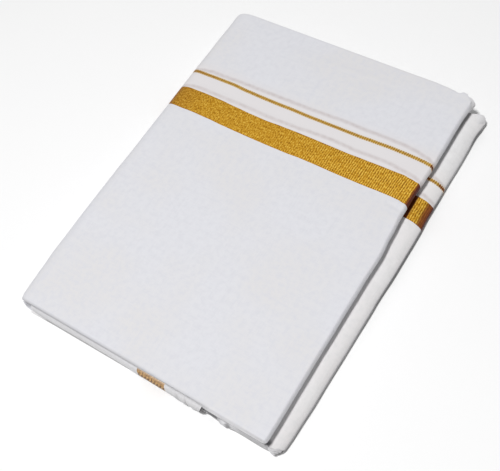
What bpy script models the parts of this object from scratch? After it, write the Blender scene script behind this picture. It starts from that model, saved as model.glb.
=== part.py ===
# A white cotton dhoti with a woven gold zari border, folded flat into a packet.
# The strip is folded in four across its width, halved along its length four times,
# and lies on the floor. X runs from the spine fold to the open folds, Y from front to back.
# Sizes in the tables are millimetres, and MM turns them into metres as a mesh is made.

import math

import bmesh
import bpy

# Driving dimensions of the packet
MM = 0.001
UPPER_WIDTH = 230.4      # spine fold to the upper half's right-hand fold
LOWER_EXTRA = 13.4       # how much farther the lower half reaches to the right
HEIGHT = 25.4            # all the layers, from the floor
FRONT = 1.0              # front fold of the upper half
BACK = 320.0             # back fold of the upper half
END_NOSE = -1.0          # front fold of the loose end, the foremost point

# The cloth that shows is one folded strip, four plies thick
WALL = 1.2
SEAM = 0.3               # gap between pieces that touch
SLIT = 0.3               # half of the gap between the two halves
SLIT_START = 1.0         # the cloth in the slit starts this far from the spine's bend
STRIP_PITCH = 1.57       # thickness that one four-ply strip takes up in the stack
GROOVE_DEPTH = 0.7       # how far the edges dip between two strips
LAYERS_SET_BACK = 0.9    # the hidden layers end this far inside the cloth that shows

# The woven zari border, as places along Y on the upper half
BAND_FRONT = 205.0
BAND_BACK = 226.2
LINE_FRONT = 244.2
LINE_BACK = 246.4
BORDER_BOW = 2.0         # the border runs this far back at the middle of the packet
LOWER_SHIFT = -2.8       # the lower half's border lies this much farther forward

# The loose end, which shows along the front of the lower half
END_START = 14.0
END_HEM = 172.0
END_BAND_LEFT = 118.0
END_BAND_RIGHT = 143.0
END_RADIUS = 3.3
END_DEPTH = 9.0          # how far the end reaches in between the layers
END_STEP = 30.0

SPINE_RADIUS = HEIGHT / 2
FOLD_RADIUS = (HEIGHT / 2 - SLIT) / 2
LOWER_WIDTH = UPPER_WIDTH + LOWER_EXTRA
CORE_RADIUS = FOLD_RADIUS - WALL - SEAM
UPPER_LEVEL = HEIGHT - FOLD_RADIUS
LOWER_LEVEL = FOLD_RADIUS
SLOT_INNER = END_RADIUS - WALL - SEAM
SLOT_OUTER = END_RADIUS + SEAM
STEEP = 0.05             # half the thickness of the steep side of the slot
END_SPAN = (END_START - SEAM, END_HEM + SEAM)
SPINE_SEAM = 240         # degrees round the spine at which the upper cloth meets the lower
CENTRE_X = LOWER_WIDTH / 2
CENTRE_Y = (BACK + END_NOSE) / 2

# How finely the folds and level runs are divided
FOLD_STEPS = 10
SPINE_STEPS = 15
LOW_SPINE_STEPS = 3
CAP_STEPS = 6
RUN_STOPS = (0.2, 0.4, 0.6, 0.8, 0.93)   # shares of the way from the spine to a fold
END_STOPS = (40.0, 80.0, 120.0, 150.0)   # places along X behind the loose end

# How far the right-hand folds stand out of line, by place along Y
EDGE_COLUMNS = ("y", "upper", "lower")
EDGE_ROWS = (
    (0.0, 1.4, -2.6),
    (16.0, 1.2, -1.4),
    (50.0, 1.0, -0.6),
    (85.0, 1.2, 0.0),
    (130.0, 1.0, -0.2),
    (158.0, 1.7, -0.3),
    (180.0, 0.2, 0.0),
    (199.0, -1.3, 0.0),
    (216.0, -1.1, -1.0),
    (234.0, -0.4, -1.4),
    (251.0, 0.9, -1.2),
    (282.0, 0.7, -0.4),
    (320.0, 0.6, -0.2),
)
EDGE_REACH = 42.0        # the edge's unevenness dies out over this distance
ROW_MARGIN = 1.0

# Rounded corners seen from above: radius along X, radius along Y
SPINE_FRONT_CORNER = (6.0, 5.0)
SPINE_BACK_CORNER = (22.0, 9.0)
UPPER_BACK_CORNER = (9.0, 9.0)
LOWER_CORNER = (7.0, 7.0)
LAYER_CORNER_SHARE = 0.5  # under the chamfered top corner the layers reach farther out

# Front outline of the lower half's middle layers, right of the loose end's hem
LAYER_COLUMNS = ("x", "y")
LAYER_ROWS = (
    (END_HEM + 1.6, 5.0),
    (186.0, 4.6),
    (188.5, -0.2),
    (196.5, 0.0),
    (199.0, 2.4),
    (226.0, 2.2),
    (234.0, 1.0),
)


def clear_scene():
    for thing in list(bpy.data.objects):
        bpy.data.objects.remove(thing)


def make_material(name, colour, roughness, metallic):
    material = bpy.data.materials.new(name)
    material.use_nodes = True
    shader = material.node_tree.nodes["Principled BSDF"]
    shader.inputs["Base Color"].default_value = (*colour, 1.0)
    shader.inputs["Roughness"].default_value = roughness
    shader.inputs["Metallic"].default_value = metallic
    material.diffuse_color = (*colour, 1.0)
    return material


def smooth_step(t):
    t = min(max(t, 0.0), 1.0)
    return t * t * (3 - 2 * t)


def read_table(columns, rows, place, name):
    """A named column's value at a place, between the two nearest rows."""
    column = columns.index(name)
    if place <= rows[0][0]:
        return rows[0][column]
    for low, high in zip(rows, rows[1:]):
        if place <= high[0]:
            share = (place - low[0]) / (high[0] - low[0])
            return low[column] + share * (high[column] - low[column])
    return rows[-1][column]


def rows_between(start, end):
    """The edge table's places that lie clear inside a stretch, so that all pieces bend alike."""
    return [row[0] for row in EDGE_ROWS if start + BORDER_BOW + ROW_MARGIN < row[0] < end - ROW_MARGIN]


def corner_inset(distance, corner):
    """How far a rounded corner pulls in, at a distance from the side it starts at."""
    run, depth = corner
    share = 1 - min(max(distance / run, 0.0), 1.0)
    return depth * (1 - math.sqrt(max(1 - share * share, 0.0)))


def front_limit(x, upper):
    inset = corner_inset(x, SPINE_FRONT_CORNER)
    if not upper:
        inset += corner_inset(LOWER_WIDTH - x, LOWER_CORNER)
    return FRONT + inset


def back_limit(x, upper, corner_share=1.0):
    inset = corner_inset(x, SPINE_BACK_CORNER)
    if upper:
        inset += corner_share * corner_inset(UPPER_WIDTH - x, UPPER_BACK_CORNER)
    else:
        inset += corner_inset(LOWER_WIDTH - x, LOWER_CORNER)
    return BACK - inset


def settle(point, upper):
    """Moves a point of the even packet to where the uneven right-hand folds carry it."""
    x, y, z = point
    width, name = (UPPER_WIDTH, "upper") if upper else (LOWER_WIDTH, "lower")
    share = smooth_step((x - width + EDGE_REACH) / EDGE_REACH)
    x += share * read_table(EDGE_COLUMNS, EDGE_ROWS, y, name)
    return ((x - CENTRE_X) * MM, (y - CENTRE_Y) * MM, z * MM)


def arc(centre, radius, start, end, steps):
    """Points on an arc with their outward normals, angles in degrees."""
    found = []
    for step in range(steps + 1):
        angle = math.radians(start + (end - start) * step / steps)
        cosine, sine = math.cos(angle), math.sin(angle)
        found.append((centre[0] + radius * cosine, centre[1] + radius * sine, cosine, sine))
    return found


def level_run(fold_x, z, normal):
    """Points of a level run from the spine out to a fold, with the normal up or down."""
    reach = fold_x - SPINE_RADIUS
    return [(SPINE_RADIUS + reach * stop, z, 0.0, normal) for stop in RUN_STOPS]


def upper_path():
    """Outer face of the upper cloth: out of the slit, round the fold, over the top, down the spine."""
    fold_x = UPPER_WIDTH - FOLD_RADIUS
    slit_z = HEIGHT / 2 + SLIT
    path = [(SPINE_RADIUS + SLIT_START, slit_z, 0.0, -1.0)]
    path += level_run(fold_x, slit_z, -1.0)
    path += arc((fold_x, UPPER_LEVEL), FOLD_RADIUS, -90, 90, FOLD_STEPS)
    path += reversed(level_run(fold_x, HEIGHT, 1.0))
    path += arc((SPINE_RADIUS, SPINE_RADIUS), SPINE_RADIUS, 90, SPINE_SEAM, SPINE_STEPS)
    return path


def lower_path():
    """Outer face of the lower cloth: the rest of the spine, underneath, round the fold, into the slit."""
    fold_x = LOWER_WIDTH - FOLD_RADIUS
    slit_z = HEIGHT / 2 - SLIT
    seam_angle = math.degrees(SEAM / SPINE_RADIUS)
    path = arc((SPINE_RADIUS, SPINE_RADIUS), SPINE_RADIUS, SPINE_SEAM + seam_angle, 270, LOW_SPINE_STEPS)
    path += level_run(fold_x, 0.0, -1.0)
    path += arc((fold_x, LOWER_LEVEL), FOLD_RADIUS, -90, 90, FOLD_STEPS)
    path += reversed(level_run(fold_x, slit_z, 1.0))
    path.append((SPINE_RADIUS + SLIT_START, slit_z, 0.0, 1.0))
    return path


def border_place(place, x):
    """Where a line of the border runs: bowed back at the middle, level at both folds."""
    across = min(max(x / UPPER_WIDTH, 0.0), 1.0)
    return place + BORDER_BOW * math.sin(math.pi * across) ** 2


def finish_object(name, mesh_builder, material):
    bmesh.ops.remove_doubles(mesh_builder, verts=mesh_builder.verts, dist=0.001 * MM)
    bmesh.ops.recalc_face_normals(mesh_builder, faces=mesh_builder.faces)
    mesh = bpy.data.meshes.new(name)
    mesh_builder.to_mesh(mesh)
    mesh_builder.free()
    mesh.shade_smooth()
    mesh.set_sharp_from_angle(angle=math.radians(50))
    mesh.materials.append(material)
    piece = bpy.data.objects.new(name, mesh)
    bpy.context.scene.collection.objects.link(piece)
    return piece


def wall_object(name, outer, inner, material):
    """A closed wall between two equal grids of points."""
    builder = bmesh.new()
    faces = [[[builder.verts.new(point) for point in row] for row in grid] for grid in (outer, inner)]
    top, bottom = faces
    rows, columns = len(top), len(top[0])
    for i in range(rows - 1):
        for j in range(columns - 1):
            for grid in (top, bottom):
                builder.faces.new((grid[i][j], grid[i + 1][j], grid[i + 1][j + 1], grid[i][j + 1]))
    for i in range(rows - 1):
        for j in (0, columns - 1):
            builder.faces.new((top[i][j], top[i + 1][j], bottom[i + 1][j], bottom[i][j]))
    for j in range(columns - 1):
        for i in (0, rows - 1):
            builder.faces.new((top[i][j], top[i][j + 1], bottom[i][j + 1], bottom[i][j]))
    return finish_object(name, builder, material)


def cloth_strip(name, path, upper, limits, material):
    """One stretch of the cloth that shows: a wall along the path, between two places along Y."""
    outer, inner = [], []
    middle = rows_between(*(limit(UPPER_WIDTH) for limit in limits))
    for x, z, normal_x, normal_z in path:
        start, end = (limit(x) for limit in limits)
        places = [start, *middle, end]
        inside = (x - normal_x * WALL, z - normal_z * WALL)
        outer.append([settle((x, y, z), upper) for y in places])
        inner.append([settle((inside[0], y, inside[1]), upper) for y in places])
    return wall_object(name, outer, inner, material)


def cloth_half(prefix, path, upper, shift, white, gold):
    """The five stretches of one half, from the front edge to the back edge."""
    half_seam = SEAM / 2

    def line(place, side):
        return lambda x: border_place(place + shift, x) + side * half_seam

    def front(x):
        return front_limit(x, upper)

    def back(x):
        return back_limit(x, upper)

    stretches = (
        ("cloth_front", front, line(BAND_FRONT, -1), white),
        ("zari_band", line(BAND_FRONT, 1), line(BAND_BACK, -1), gold),
        ("cloth_between", line(BAND_BACK, 1), line(LINE_FRONT, -1), white),
        ("zari_line", line(LINE_FRONT, 1), line(LINE_BACK, -1), gold),
        ("cloth_back", line(LINE_BACK, 1), back, white),
    )
    for label, start, end, material in stretches:
        cloth_strip(f"{prefix}_{label}", path, upper, (start, end), material)


def loose_end_piece(name, left, right, material):
    """A stretch of the loose end: a wall folded round a nose, along the front of the lower half."""
    nose_y = END_NOSE + END_RADIUS
    profile = [(END_DEPTH, LOWER_LEVEL + END_RADIUS, 0.0, 1.0)]
    profile += arc((nose_y, LOWER_LEVEL), END_RADIUS, 90, 270, FOLD_STEPS)
    profile.append((END_DEPTH, LOWER_LEVEL - END_RADIUS, 0.0, -1.0))
    steps = math.ceil((right - left) / END_STEP)
    places = [left + (right - left) * step / steps for step in range(steps + 1)]
    outer, inner = [], []
    for y, z, normal_y, normal_z in profile:
        outer.append([settle((x, y, z), False) for x in places])
        inside = (y - normal_y * WALL, z - normal_z * WALL)
        inner.append([settle((x, inside[0], inside[1]), False) for x in places])
    return wall_object(name, outer, inner, material)


def spine_line():
    """Middle line of the hidden layers: upper half, round the spine, lower half."""
    line = []
    upper_end = UPPER_WIDTH - FOLD_RADIUS
    lower_end = LOWER_WIDTH - FOLD_RADIUS
    bend_radius = UPPER_LEVEL - SPINE_RADIUS
    points = [(upper_end, UPPER_LEVEL, 0.0, 1.0)]
    points += reversed(level_run(upper_end, UPPER_LEVEL, 1.0))
    points += arc((SPINE_RADIUS, SPINE_RADIUS), bend_radius, 90, 270, SPINE_STEPS)
    places = [END_SPAN[0], *END_STOPS, END_SPAN[1], *(row[0] for row in LAYER_ROWS), lower_end]
    points += [(x, LOWER_LEVEL, 0.0, -1.0) for x in places]
    return [(*point, point[1] > SPINE_RADIUS) for point in points]


def layer_ring(depth):
    """Points at one depth round the middle line: out, round the end, back, round the other end."""
    line = spine_line()
    ring = []
    for x, z, normal_x, normal_z, upper in line:
        ring.append((x + depth * normal_x, z + depth * normal_z, upper))
    for x, z, _, _ in arc((line[-1][0], LOWER_LEVEL), depth, -90, 90, CAP_STEPS)[1:-1]:
        ring.append((x, z, False))
    for x, z, normal_x, normal_z, upper in reversed(line):
        ring.append((x - depth * normal_x, z - depth * normal_z, upper))
    for x, z, _, _ in arc((line[0][0], UPPER_LEVEL), depth, -90, 90, CAP_STEPS)[1:-1]:
        ring.append((x, z, True))
    return ring


def groove(depth):
    """How far the edge dips at a depth, nil on a strip's nose and full between two strips."""
    share = abs(math.sin(math.pi * depth / STRIP_PITCH))
    return GROOVE_DEPTH * share ** 2


def layers_front(x, upper, depth):
    """Front outline of the hidden layers, with the slot that holds the loose end."""
    place = front_limit(x, upper) + LAYERS_SET_BACK + groove(depth)
    if upper or depth > SLOT_OUTER:
        return place
    if END_SPAN[0] <= x <= END_SPAN[1]:
        if depth < SLOT_INNER:
            nose = math.sqrt(SLOT_INNER ** 2 - depth ** 2)
            return END_NOSE + END_RADIUS - nose
        return END_DEPTH + SEAM
    if x > END_SPAN[1]:
        return read_table(LAYER_COLUMNS, LAYER_ROWS, x, "y") + groove(depth)
    return place


def layers_back(x, upper, depth):
    return back_limit(x, upper, LAYER_CORNER_SHARE) - LAYERS_SET_BACK - groove(depth)


def hidden_layers(material):
    """One rounded solid for the layers inside, with the plies' grooves at its front and back edges."""
    depths = (0.0, 0.45, 0.78, 1.1, SLOT_INNER - STEEP, SLOT_INNER + STEEP, 2.35, 3.0,
              SLOT_OUTER - STEEP, SLOT_OUTER + STEEP, 3.92, 4.35, CORE_RADIUS)
    builder = bmesh.new()
    front_rings, back_rings = [], []
    for depth in depths:
        ring = layer_ring(depth)
        front_rings.append([(x, layers_front(x, upper, depth), z, upper) for x, z, upper in ring])
        back_rings.append([(x, layers_back(x, upper, depth), z, upper) for x, z, upper in ring])
    loops = list(front_rings)
    for place in rows_between(FRONT, BACK):
        loops.append([(x, place, z, upper) for x, _, z, upper in front_rings[-1]])
    loops += reversed(back_rings)
    verts = [[builder.verts.new(settle((x, y, z), upper)) for x, y, z, upper in loop] for loop in loops]
    count = len(verts[0])
    for near, far in zip(verts, verts[1:]):
        for i in range(count):
            after = (i + 1) % count
            builder.faces.new((near[i], near[after], far[after], far[i]))
    return finish_object("hidden_layers", builder, material)


def build():
    clear_scene()
    white = make_material("white_cotton", (0.80, 0.80, 0.83), 0.85, 0.0)
    gold = make_material("gold_zari", (0.62, 0.38, 0.07), 0.42, 0.75)
    inner_white = make_material("inner_cotton", (0.72, 0.72, 0.74), 0.9, 0.0)
    hidden_layers(inner_white)
    cloth_half("upper", upper_path(), True, 0.0, white, gold)
    cloth_half("lower", lower_path(), False, LOWER_SHIFT, white, gold)
    half_seam = SEAM / 2
    loose_end_piece("end_cloth_inner", END_START, END_BAND_LEFT - half_seam, white)
    loose_end_piece("end_zari_band", END_BAND_LEFT + half_seam, END_BAND_RIGHT - half_seam, gold)
    loose_end_piece("end_cloth_hem", END_BAND_RIGHT + half_seam, END_HEM, white)


build()
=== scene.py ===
import math

import bpy
import numpy as np
from mathutils import Matrix, Vector


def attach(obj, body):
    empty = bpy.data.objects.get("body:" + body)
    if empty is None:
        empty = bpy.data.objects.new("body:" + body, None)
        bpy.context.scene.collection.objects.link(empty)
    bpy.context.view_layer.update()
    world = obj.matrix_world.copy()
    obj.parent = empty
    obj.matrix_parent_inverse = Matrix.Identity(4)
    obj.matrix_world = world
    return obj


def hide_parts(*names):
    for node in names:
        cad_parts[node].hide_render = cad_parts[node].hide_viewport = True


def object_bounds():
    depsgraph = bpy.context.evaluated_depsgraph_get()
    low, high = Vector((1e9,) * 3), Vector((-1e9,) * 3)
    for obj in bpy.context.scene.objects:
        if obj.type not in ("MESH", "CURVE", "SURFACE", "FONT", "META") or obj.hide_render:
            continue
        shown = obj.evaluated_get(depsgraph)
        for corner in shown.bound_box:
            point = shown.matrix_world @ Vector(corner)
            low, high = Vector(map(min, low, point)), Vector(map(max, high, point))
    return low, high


# A white cotton dhoti with a gold zari border, folded flat into a packet.
# Sizes are millimetres in the packet's own frame: x from the spine fold to the open side,
# y from the front folds to the back folds, z up from the floor.
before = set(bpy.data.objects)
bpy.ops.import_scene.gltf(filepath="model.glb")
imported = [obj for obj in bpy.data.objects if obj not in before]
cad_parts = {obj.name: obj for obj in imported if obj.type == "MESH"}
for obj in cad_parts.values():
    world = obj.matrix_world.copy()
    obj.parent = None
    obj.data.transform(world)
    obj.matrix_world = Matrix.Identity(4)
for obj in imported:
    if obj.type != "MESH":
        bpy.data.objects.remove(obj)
cadLow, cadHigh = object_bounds()
mm = 0.001

packet = {
    "noseReach": 1.0,  # the loose end may stand this far in front of y = 0
    "lowerExtra": 13.4,  # the lower half reaches this much farther right
    "front": 1.0,
    "back": 319.6,
    "slit": 0.3,  # half of the gap between the halves
    "strip": 1.55,  # the cloth folded in four
    "edgeReach": 42.0,  # the right-hand folds' unevenness dies out over this
    "spineReach": 14.0,  # and the spine's over this
    "roundFrom": (12, 8),  # from this height the spine's front end is rounded off, eased over the second
    # height from a half's middle where its front edge passes to the slit's, and over how much
    "toSlit": {"upper": (1, -3), "lower": (-2, 4)},
}
height = (cadHigh.z - cadLow.z) / mm
lowerWidth = (cadHigh.x - cadLow.x) / mm
upperWidth = lowerWidth - packet["lowerExtra"]
spineRadius = height / 2
foldRadius = (height / 2 - packet["slit"]) / 2
upperLevel = height - foldRadius
lowerLevel = foldRadius
print(f"frame: packet {lowerWidth:.1f} x {(cadHigh.y - cadLow.y) / mm:.1f} x {height:.1f} mm")

# Right-hand folds out of line: place along y, upper half, lower half
edgeRows = [
    (0, 0.8, -3.1), (6, 0.9, -3.3), (16, 0.9, -2.8), (50, 0.8, -2), (85, 0.9, -1.5), (130, 0.7, -1.1),
    (158, 1.4, -0.2), (180, 0, -0.1), (199, -1.4, -0.35), (216, -1.2, -0.9), (234, -0.5, -1),
    (251, 0.5, -0.9), (282, -0.1, -0.9), (299, 0.1, -1.4), (309, 0.6, -0.4), (315, 2, 0.9),
    (320, 1.8, 0.4),
]

# The spine fold out of line: place along y, how far it stands out
spineRows = [
    (0, -1.4), (4, -1.8), (8, -1.4), (14, -0.9), (20, -0.6), (30, -0.1), (50, 0.8), (80, 0.9), (130, 0.45),
    (160, -0.3), (200, -0.5), (240, -0.7), (280, -1.4), (305, -2.2), (320, -2.0),
]

# Rounded corners seen from above: run along x, depth along y
corners = {
    "spineFront": (8.0, 12.0),
    "spineBack": (22.0, 9.0),
    "lower": (9.0, 5.6),
}

# Front and back edges: place along x, then y at the front or the inset at the back
edges = {
    "upperSlitFront": [(0, 1.0), (7, 1.0), (9.5, 4.4), (172.8, 4.4), (174.4, 1.0)],
    "lowerSlitFront": [
        (0, 0.4), (7, 0.4), (9.5, 4.4), (168.4, 4.4), (170.4, 1.2), (228.5, 1.0), (231.2, 1.9),
        (232.2, 1.9), (233.4, 1.0), (239.1, 1.0), (241.0, 1.6), (243.0, 1.2),
    ],
    "lowerBottomFront": [
        (0, -0.2), (9, -0.2), (30, 0.2), (100, 0.2), (150, -0.3), (170, -0.3), (173, 0.7), (177, 1.4),
        (180, 1.3), (182.5, 0.9), (187, 0.6), (191, 0.05), (196, -0.2), (204, 0.4), (226, 0.1), (236, 0.6),
    ],
    "upperPliesFront": [(0, 2.2), (8, 2.4), (12.5, 1.8), (17, 1.0)],
    "upperPliesLean": [(0, 0.2), (30, 0.4), (175, 0.4), (182, 0.9), (231, 0.9)],
    "lowerPliesFront": [
        (0, 2.0), (9, 4.6), (168.4, 4.6), (170.4, 0.8), (187.4, 0.8), (188.8, -1.0), (194.6, -1.4),
        (196.8, 0.2), (204, 0.1), (226, -0.1), (236, 0.2), (242, 0.8),
    ],
    "upperBack": [
        (196, 0), (206, 0.6), (211.6, 1.2), (215.4, 2.0), (217, 1.7), (219.4, -0.3), (222, 0.2),
        (225.2, 3.0), (227, 5.0), (229.5, 8.0), (230.6, 9.0),
    ],
    "upperPliesBack": [(206, 0.9), (217, 1.6), (219.4, 0.5), (222, 0.8), (225.4, 1.4), (228.9, 2.6)],
    "lowerBack": [
        (190, 0), (222, 5.0), (229, 7.2), (232, 6.6), (236, 4.4), (239.5, 3.5), (241.5, 4.2), (243.0, 6.0),
        (244.0, 8.5),
    ],
}

border = {
    "stops": (205.0, 226.2, 243.5, 247.1),  # across the cloth: the band's edges, the frayed line's edges
    "reach": 60.0,  # the cloth beside it takes up the border's drift over this
    # place along x, then y of the band's front and back and of the line's middle
    "upper": [
        (0, 207.0, 226.9, 245.7), (5, 207.2, 227.3, 246.0), (15, 207.2, 228.4, 246.2),
        (30, 207.7, 228.8, 246.6), (45, 207.5, 228.6, 246.8), (60, 206.9, 227.8, 245.9),
        (75, 206.6, 227.1, 245.6), (90, 206.4, 226.9, 245.5), (105, 206.4, 227.6, 245.7),
        (120, 206.6, 228.0, 245.5), (135, 207.3, 228.1, 245.7), (150, 207.4, 228.2, 246.0),
        (165, 207.2, 228.1, 246.2), (180, 207.3, 228.6, 246.8), (195, 207.5, 229.0, 247.3),
        (205, 207.9, 229.1, 247.3), (215, 208.0, 229.4, 247.1), (222, 207.7, 228.6, 246.8),
        (227, 206.9, 227.8, 246.2), (231, 206.2, 227.2, 245.6),
    ],
    "lower": [
        (0, 203.6, 224.8, 243.2), (225, 203.2, 224.5, 242.4), (234, 202.9, 224.2, 242.0),
        (243, 202.3, 223.6, 241.4),
    ],
}

# Borders of the plies below show through the top one: place along x, then y of the band's and of the line's
throughRows = {
    "upper": [
        (0, 227.4, 246.2), (8, 229.2, 248.0), (14, 230.9, 249.6), (22, 231.7, 250.8), (60, 231.6, 251.6),
        (90, 230.9, 252.0), (118, 231.7, 252.4), (130, 233.0, 253.0), (150, 233.8, 254.0),
        (170, 233.0, 253.8), (180, 233.5, 254.1), (200, 233.9, 254.1), (212, 232.6, 253.0),
        (223, 231.3, 251.0), (231, 228.6, 247.6),
    ],
    "lower": [
        (0, 228.0, 246.0), (232, 227.4, 245.2), (243, 225.6, 243.2),
    ],
}

# Painted shade in the gaps between the plies: place along x, then 0 for none up to 1
gapRows = {
    "upperSheet": [(0, 0.42), (115, 0.40), (150, 0.22), (179, 0.18), (186, 0.0)],
    "upperPlies": [
        (0, 0.55), (4, 0.72), (10, 0.90), (13, 0.50), (18, 0.30), (176, 0.25), (186, 0.02), (204, 0.0),
        (228, 0.06),
    ],
    "lowerPlies": [
        (0, 0.35), (10, 0.45), (14, 0.25), (169, 0.3), (172, 0.6), (176, 0.85), (185, 0.93), (189, 0.45),
        (192, 0.08), (194.4, 0.08), (196.2, 0.5), (199.5, 0.12), (203, 0.16), (208, 0.34), (226, 0.36),
        (229.6, 0.2), (231.2, 0.5), (232.6, 0.5), (233.6, 0.05),
    ],
    # painted shade between the halves, beside the crevice: place along y
    "crevice": [
        (0, 0.9), (4, 0.8), (7, 0.1), (60, 0.0), (160, 0.1), (250, 0.22), (285, 0.34), (303, 0.6),
        (316, 0.6),
    ],
    # painted shadow under the outer right-hand edge
    "foot": [
        (0, 0.5), (95, 0.5), (138, 0.76), (158, 0.93), (226, 0.93), (240, 0.76), (256, 0.5), (272, 0.5),
        (286, 0.6), (296, 0.95), (304, 0.95), (310, 0.6),
    ],
}


def smooth(t):
    t = np.clip(t, 0, 1)
    return t * t * (3 - 2 * t)


def rising(value, start, over):  # eased from 0 at start to 1, backwards if over is negative
    return smooth((value - start) / over)


def eased(rows, place, column=1):
    stops = np.array([row[0] for row in rows], float)
    values = np.array([row[column] for row in rows], float)
    place = np.clip(place, stops[0], stops[-1])
    low = np.clip(np.searchsorted(stops, place, side="right") - 1, 0, len(stops) - 2)
    share = smooth((place - stops[low]) / (stops[low + 1] - stops[low]))
    return values[low] + share * (values[low + 1] - values[low])


def cornerInset(distance, corner):
    run, depth = corners[corner]
    share = 1 - np.clip(distance / run, 0, 1)
    return depth * (1 - np.sqrt(np.maximum(1 - share * share, 0)))


def spineInset(x, z):  # only the upper plies are rounded off at the spine's front end
    return cornerInset(x, "spineFront") * rising(z, *packet["roundFrom"])


def frontLimit(x, z, upper):
    inset = spineInset(x, z)
    if upper:
        slit, outer = eased(edges["upperSlitFront"], x), packet["front"]
        share = rising(z - upperLevel, *packet["toSlit"]["upper"])
    else:
        inset = inset + cornerInset(lowerWidth - x, "lower")
        slit, outer = (eased(edges[key], x) for key in ("lowerSlitFront", "lowerBottomFront"))
        share = rising(z - lowerLevel, *packet["toSlit"]["lower"])
    return inset + slit * share + outer * (1 - share)


def backLimit(x, rows):
    return packet["back"] - cornerInset(x, "spineBack") - eased(edges[rows], x)


def borderDrift(x, v, rows):  # how far back of its even place the border and the cloth beside it lie
    low, high, lineLow, lineHigh = border["stops"]
    line = (lineLow + lineHigh) / 2
    reach = border["reach"]
    front, back, middle = (eased(rows, x, column) for column in (1, 2, 3))
    near = smooth((v - low + reach) / reach) * (v < low) + np.interp(v, [low, high], [1, 0]) * (v >= low)
    far = smooth((line + reach - v) / reach) * (v > line) + np.interp(v, [high, line], [0, 1]) * (v <= line)
    between = np.interp(v, [low, high, line], [0, 1, 0])
    return (front - low) * near + (back - high) * between + (middle - line) * far


def settle(x, y, z, upper):  # carries the even packet to its uneven right-hand folds and spine
    width, column = (upperWidth, 1) if upper else (lowerWidth, 2)
    share = smooth((x - width + packet["edgeReach"]) / packet["edgeReach"])
    spine = eased(spineRows, y) * smooth(1 - x / packet["spineReach"])
    return x + share * eased(edgeRows, y, column) - spine, y, z


def toFrame(x, y, z):
    points = np.stack(np.broadcast_arrays(x, y, z), axis=-1) * mm
    return points + np.array([cadLow.x, cadLow.y + packet["noseReach"] * mm, cadLow.z])


waveLook = {
    "count": 5,
    "lengths": (0.7, 1.6),  # as shares of the length asked for
    "creaseFade": 0.25,  # share of a crease over which each end dies out
}


def waves(a, b, seed, scale):  # slow, seeded unevenness between -1 and 1
    rng = np.random.default_rng(seed)
    total = 0
    for _ in range(waveLook["count"]):
        angle, phase = rng.uniform(0, 2 * math.pi, 2)
        length = scale * rng.uniform(*waveLook["lengths"])
        total = total + np.sin((a * math.cos(angle) + b * math.sin(angle)) * 2 * math.pi / length + phase)
    return total / waveLook["count"]


def ridge(value, centre, width):
    return np.exp(-((value - centre) / width) ** 2)


def creaseRelief(x, y, rows):  # soft straight creases that die out at their ends
    total = 0
    fade = waveLook["creaseFade"]
    for x0, y0, x1, y1, width, rise in rows:
        length = math.hypot(x1 - x0, y1 - y0)
        along = ((x - x0) * (x1 - x0) + (y - y0) * (y1 - y0)) / length ** 2
        aside = ((y - y0) * (x1 - x0) - (x - x0) * (y1 - y0)) / length
        total = total + rise * ridge(aside, 0, width) * smooth(along / fade) * smooth((1 - along) / fade)
    return total


# Shader maths

class Wire:
    def __init__(self, surface, socket):
        self.surface = surface
        self.socket = socket

    def math(self, operation, first, second):
        return self.surface.add("ShaderNodeMath", {"operation": operation}, {0: first, 1: second})

    def __add__(self, other):
        return self.math("ADD", self, other)

    __radd__ = __add__

    def __sub__(self, other):
        return self.math("SUBTRACT", self, other)

    def __rsub__(self, other):
        return self.math("SUBTRACT", other, self)

    def __mul__(self, other):
        return self.math("MULTIPLY", self, other)

    __rmul__ = __mul__


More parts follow.
